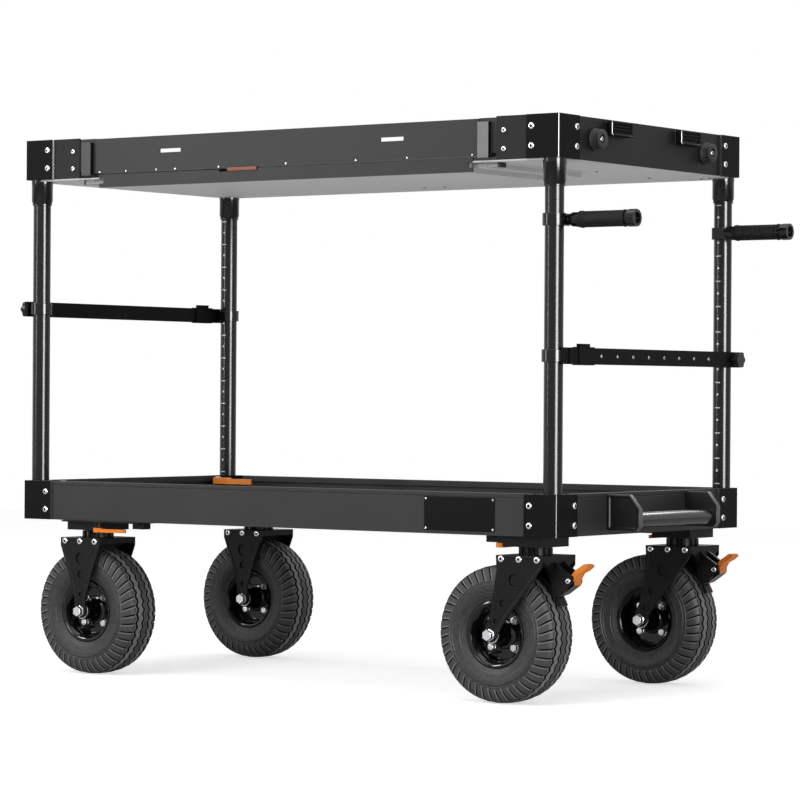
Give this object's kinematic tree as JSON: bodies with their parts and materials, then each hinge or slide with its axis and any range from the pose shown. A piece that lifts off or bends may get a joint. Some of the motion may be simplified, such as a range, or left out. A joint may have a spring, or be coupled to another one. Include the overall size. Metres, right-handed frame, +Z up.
{
  "type": "camera cart",
  "caption": "Two-deck camera cart with open trays on tube posts, pull-out shelf, push handles, cross bars and casters with pneumatic tyres.",
  "frame": {"origin": "on the floor, under the middle of the whole outline", "axes": "+X along the length towards the pushing end with the two push handles, +Y from the front long side with the pull-out shelf to the rear long side, +Z up"},
  "size_m": [1.5287, 0.6792, 1.1055],
  "materials": {
    "rail_black": "satin black anodised sheet",
    "bracket_black": "satin black anodised",
    "tube_black": "gloss black anodised tube",
    "sheet_grey": "plain grey sheet",
    "steel_black": "satin black coating",
    "rim_black": "gloss black coating",
    "tyre": "matt dark grey rubber",
    "grip_rubber": "matt black rubber",
    "orange": "gloss orange anodised",
    "plastic_black": "textured black plastic"
  },
  "bodies": {
    "frame": {"lower_rail_front": "rail_black", "lower_rail_rear": "rail_black", "lower_rail_left": "rail_black", "lower_rail_right": "rail_black", "upper_rail_rear": "rail_black", "upper_rail_left": "rail_black", "upper_rail_right": "rail_black", "upper_front_wall": "rail_black", "lower_deck": "sheet_grey", "upper_deck": "sheet_grey", "lower_corner_front_left": "bracket_black", "upper_corner_front_left": "bracket_black", "post_front_left": "tube_black", "caster_plate_front_left": "steel_black", "caster_fork_front_left": "steel_black", "lower_corner_front_right": "bracket_black", "upper_corner_front_right": "bracket_black", "post_front_right": "tube_black", "caster_plate_front_right": "steel_black", "lower_corner_rear_left": "bracket_black", "upper_corner_rear_left": "bracket_black", "post_rear_left": "tube_black", "caster_plate_rear_left": "steel_black", "caster_fork_rear_left": "steel_black", "lower_corner_rear_right": "bracket_black", "upper_corner_rear_right": "bracket_black", "post_rear_right": "tube_black", "caster_plate_rear_right": "steel_black", "lift_handle_left": "plastic_black", "lift_handle_right": "plastic_black"},
    "wheel_front_left": {"wheel_rim_front_left": "rim_black", "tyre_front_left": "tyre"},
    "post_latch_front_left": {"post_latch_front_left": "orange"},
    "release_lever_front_left": {"release_lever_front_left": "orange"},
    "swivel_front_right": {"caster_fork_front_right": "steel_black"},
    "brake_front_right": {"brake_lever_front_right": "orange"},
    "wheel_front_right": {"wheel_rim_front_right": "rim_black", "tyre_front_right": "tyre"},
    "post_latch_front_right": {"post_latch_front_right": "orange"},
    "release_lever_front_right": {"release_lever_front_right": "orange"},
    "wheel_rear_left": {"wheel_rim_rear_left": "rim_black", "tyre_rear_left": "tyre"},
    "post_latch_rear_left": {"post_latch_rear_left": "orange"},
    "release_lever_rear_left": {"release_lever_rear_left": "orange"},
    "swivel_rear_right": {"caster_fork_rear_right": "steel_black"},
    "brake_rear_right": {"brake_lever_rear_right": "orange"},
    "wheel_rear_right": {"wheel_rim_rear_right": "rim_black", "tyre_rear_right": "tyre"},
    "post_latch_rear_right": {"post_latch_rear_right": "orange"},
    "release_lever_rear_right": {"release_lever_rear_right": "orange"},
    "handle_clamp_front": {"push_handle_clamp_front": "bracket_black"},
    "handle_grip_front": {"push_handle_grip_front": "grip_rubber"},
    "handle_clamp_rear": {"push_handle_clamp_rear": "bracket_black"},
    "handle_grip_rear": {"push_handle_grip_rear": "grip_rubber"},
    "bar_right": {"cross_bar_right": "bracket_black"},
    "knob_right": {"cross_bar_knob_right": "plastic_black"},
    "bar_left": {"cross_bar_left": "bracket_black"},
    "knob_left": {"cross_bar_knob_left": "plastic_black"},
    "shelf": {"keyboard_shelf": "rail_black"},
    "shelf_latch": {"shelf_latch": "orange"}
  },
  "joints": [
    {"name": "wheel_spin_front_left", "type": "hinge", "parent": "frame", "child": "wheel_front_left", "pos_m": [-0.551, -0.2695, 0.13117], "axis": [0, 1, 0], "continuous": true},
    {"name": "post_latch_turn_front_left", "type": "hinge", "parent": "frame", "child": "post_latch_front_left", "pos_m": [-0.6585, -0.258, 0.388], "axis": [0, 0, 1], "range_deg": [0, 90]},
    {"name": "release_turn_front_left", "type": "hinge", "parent": "frame", "child": "release_lever_front_left", "pos_m": [-0.503, -0.3255, 0.3], "axis": [0, 0, -1], "range_deg": [0, 45]},
    {"name": "caster_swivel_front_right", "type": "hinge", "parent": "frame", "child": "swivel_front_right", "pos_m": [0.534, -0.2695, 0.2825], "axis": [0, 0, 1], "continuous": true},
    {"name": "brake_pivot_front_right", "type": "hinge", "parent": "swivel_front_right", "child": "brake_front_right", "pos_m": [0.6185, -0.2695, 0.2367], "axis": [0, 1, 0], "range_deg": [0, 8]},
    {"name": "wheel_spin_front_right", "type": "hinge", "parent": "swivel_front_right", "child": "wheel_front_right", "pos_m": [0.468, -0.2695, 0.13117], "axis": [0, 1, 0], "continuous": true},
    {"name": "post_latch_turn_front_right", "type": "hinge", "parent": "frame", "child": "post_latch_front_right", "pos_m": [0.5835, -0.258, 0.388], "axis": [0, 0, -1], "range_deg": [0, 90]},
    {"name": "release_turn_front_right", "type": "hinge", "parent": "frame", "child": "release_lever_front_right", "pos_m": [0.478, -0.3025, 0.3], "axis": [0, 0, 1], "range_deg": [0, 45]},
    {"name": "wheel_spin_rear_left", "type": "hinge", "parent": "frame", "child": "wheel_rear_left", "pos_m": [-0.551, 0.2695, 0.13117], "axis": [0, 1, 0], "continuous": true},
    {"name": "post_latch_turn_rear_left", "type": "hinge", "parent": "frame", "child": "post_latch_rear_left", "pos_m": [-0.6585, 0.258, 0.388], "axis": [0, 0, -1], "range_deg": [0, 90]},
    {"name": "release_turn_rear_left", "type": "hinge", "parent": "frame", "child": "release_lever_rear_left", "pos_m": [-0.503, 0.3255, 0.3], "axis": [0, 0, 1], "range_deg": [0, 45]},
    {"name": "caster_swivel_rear_right", "type": "hinge", "parent": "frame", "child": "swivel_rear_right", "pos_m": [0.534, 0.2695, 0.2825], "axis": [0, 0, 1], "continuous": true},
    {"name": "brake_pivot_rear_right", "type": "hinge", "parent": "swivel_rear_right", "child": "brake_rear_right", "pos_m": [0.6185, 0.2695, 0.2367], "axis": [0, 1, 0], "range_deg": [0, 8]},
    {"name": "wheel_spin_rear_right", "type": "hinge", "parent": "swivel_rear_right", "child": "wheel_rear_right", "pos_m": [0.468, 0.2695, 0.13117], "axis": [0, 1, 0], "continuous": true},
    {"name": "post_latch_turn_rear_right", "type": "hinge", "parent": "frame", "child": "post_latch_rear_right", "pos_m": [0.5835, 0.258, 0.388], "axis": [0, 0, 1], "range_deg": [0, 90]},
    {"name": "release_turn_rear_right", "type": "hinge", "parent": "frame", "child": "release_lever_rear_right", "pos_m": [0.478, 0.3025, 0.3], "axis": [0, 0, -1], "range_deg": [0, 45]},
    {"name": "handle_height_front", "type": "slide", "parent": "frame", "child": "handle_clamp_front", "axis": [0, 0, 1], "range_m": [-0.06, 0.04]},
    {"name": "handle_fold_front", "type": "hinge", "parent": "handle_clamp_front", "child": "handle_grip_front", "pos_m": [0.6345, -0.289, 0.9095], "axis": [0, 1, 0], "range_deg": [0, 90]},
    {"name": "handle_height_rear", "type": "slide", "parent": "frame", "child": "handle_clamp_rear", "axis": [0, 0, 1], "range_m": [-0.06, 0.04]},
    {"name": "handle_fold_rear", "type": "hinge", "parent": "handle_clamp_rear", "child": "handle_grip_rear", "pos_m": [0.6345, 0.289, 0.9095], "axis": [0, 1, 0], "range_deg": [0, 90]},
    {"name": "cross_bar_height_right", "type": "slide", "parent": "frame", "child": "bar_right", "axis": [0, 0, 1], "range_m": [-0.2, 0.035]},
    {"name": "knob_turn_right", "type": "hinge", "parent": "bar_right", "child": "knob_right", "pos_m": [0.6295, 0.312, 0.6561], "axis": [1, 0, 0], "range_deg": [0, 180]},
    {"name": "cross_bar_height_left", "type": "slide", "parent": "frame", "child": "bar_left", "axis": [0, 0, 1], "range_m": [-0.25, 0.15]},
    {"name": "knob_turn_left", "type": "hinge", "parent": "bar_left", "child": "knob_left", "pos_m": [-0.7045, -0.312, 0.7555], "axis": [-1, 0, 0], "range_deg": [0, 180]},
    {"name": "shelf_slide", "type": "slide", "parent": "frame", "child": "shelf", "axis": [0, -1, 0], "range_m": [0, 0.25]},
    {"name": "shelf_latch_slide", "type": "slide", "parent": "shelf", "child": "shelf_latch", "axis": [-1, 0, 0], "range_m": [0, 0.012], "stiffness_N_per_m": 60}
  ]
}
